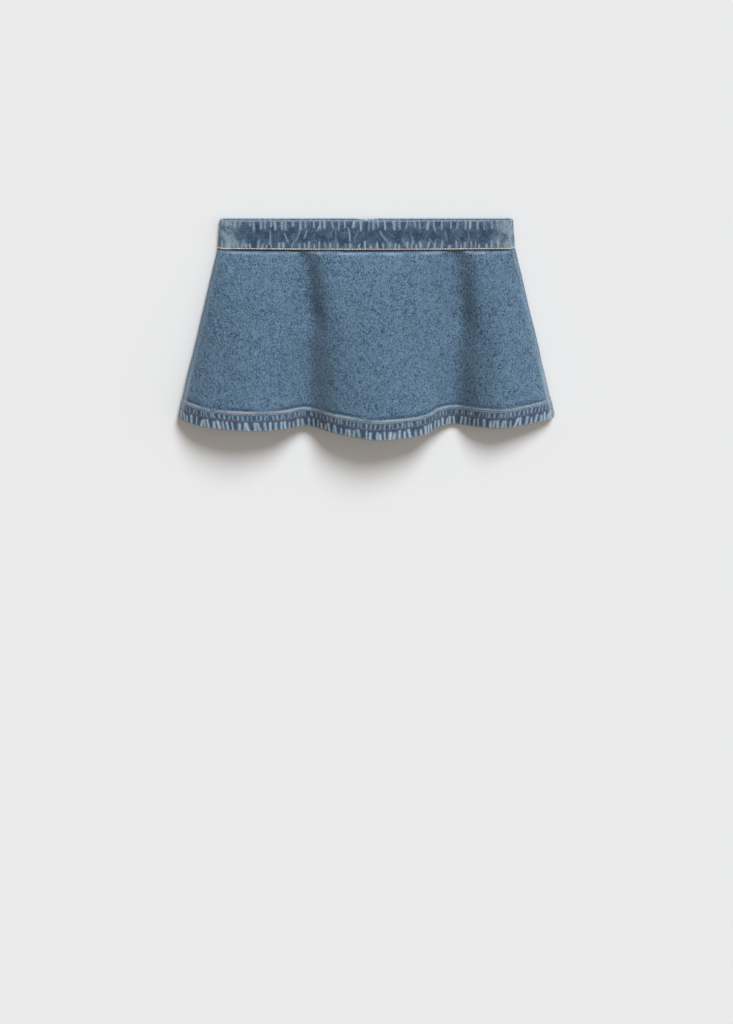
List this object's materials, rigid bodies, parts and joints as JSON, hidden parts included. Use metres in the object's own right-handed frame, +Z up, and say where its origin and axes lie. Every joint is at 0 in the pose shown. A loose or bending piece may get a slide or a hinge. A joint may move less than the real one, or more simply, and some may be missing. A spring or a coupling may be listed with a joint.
{
  "type": "denim skirt",
  "caption": "Flared denim mini skirt laid on its back, with a plain waistband, three soft folds in the front, a stitched hem and a centre-back zip with a hinged pull.",
  "frame": {"origin": "on the surface that the skirt lies on, at the middle of its outline", "axes": "+X to the wearer's left, +Y towards the waist, +Z up off the surface"},
  "size_m": [0.4857, 0.2804, 0.055],
  "materials": {
    "washed_denim": "stone-washed mid-blue twill, matt and slightly napped",
    "band_denim": "the same denim, darker between worn, roped edges",
    "zip_tape": "fine navy polyester tape with a moulded coil",
    "zip_metal": "satin grey metal"
  },
  "bodies": {
    "skirt": {"front": "washed_denim", "back_right": "washed_denim", "back_left": "washed_denim", "waistband": "band_denim", "zip": "zip_tape", "slider": "zip_metal"},
    "pull": {"pull_tab": "zip_metal"}
  },
  "joints": [
    {"name": "pull_swing", "type": "hinge", "parent": "skirt", "child": "pull", "pos_m": [0, 0.1285, 0.0014], "axis": [1, 0, 0], "range_deg": [0, 150]}
  ]
}
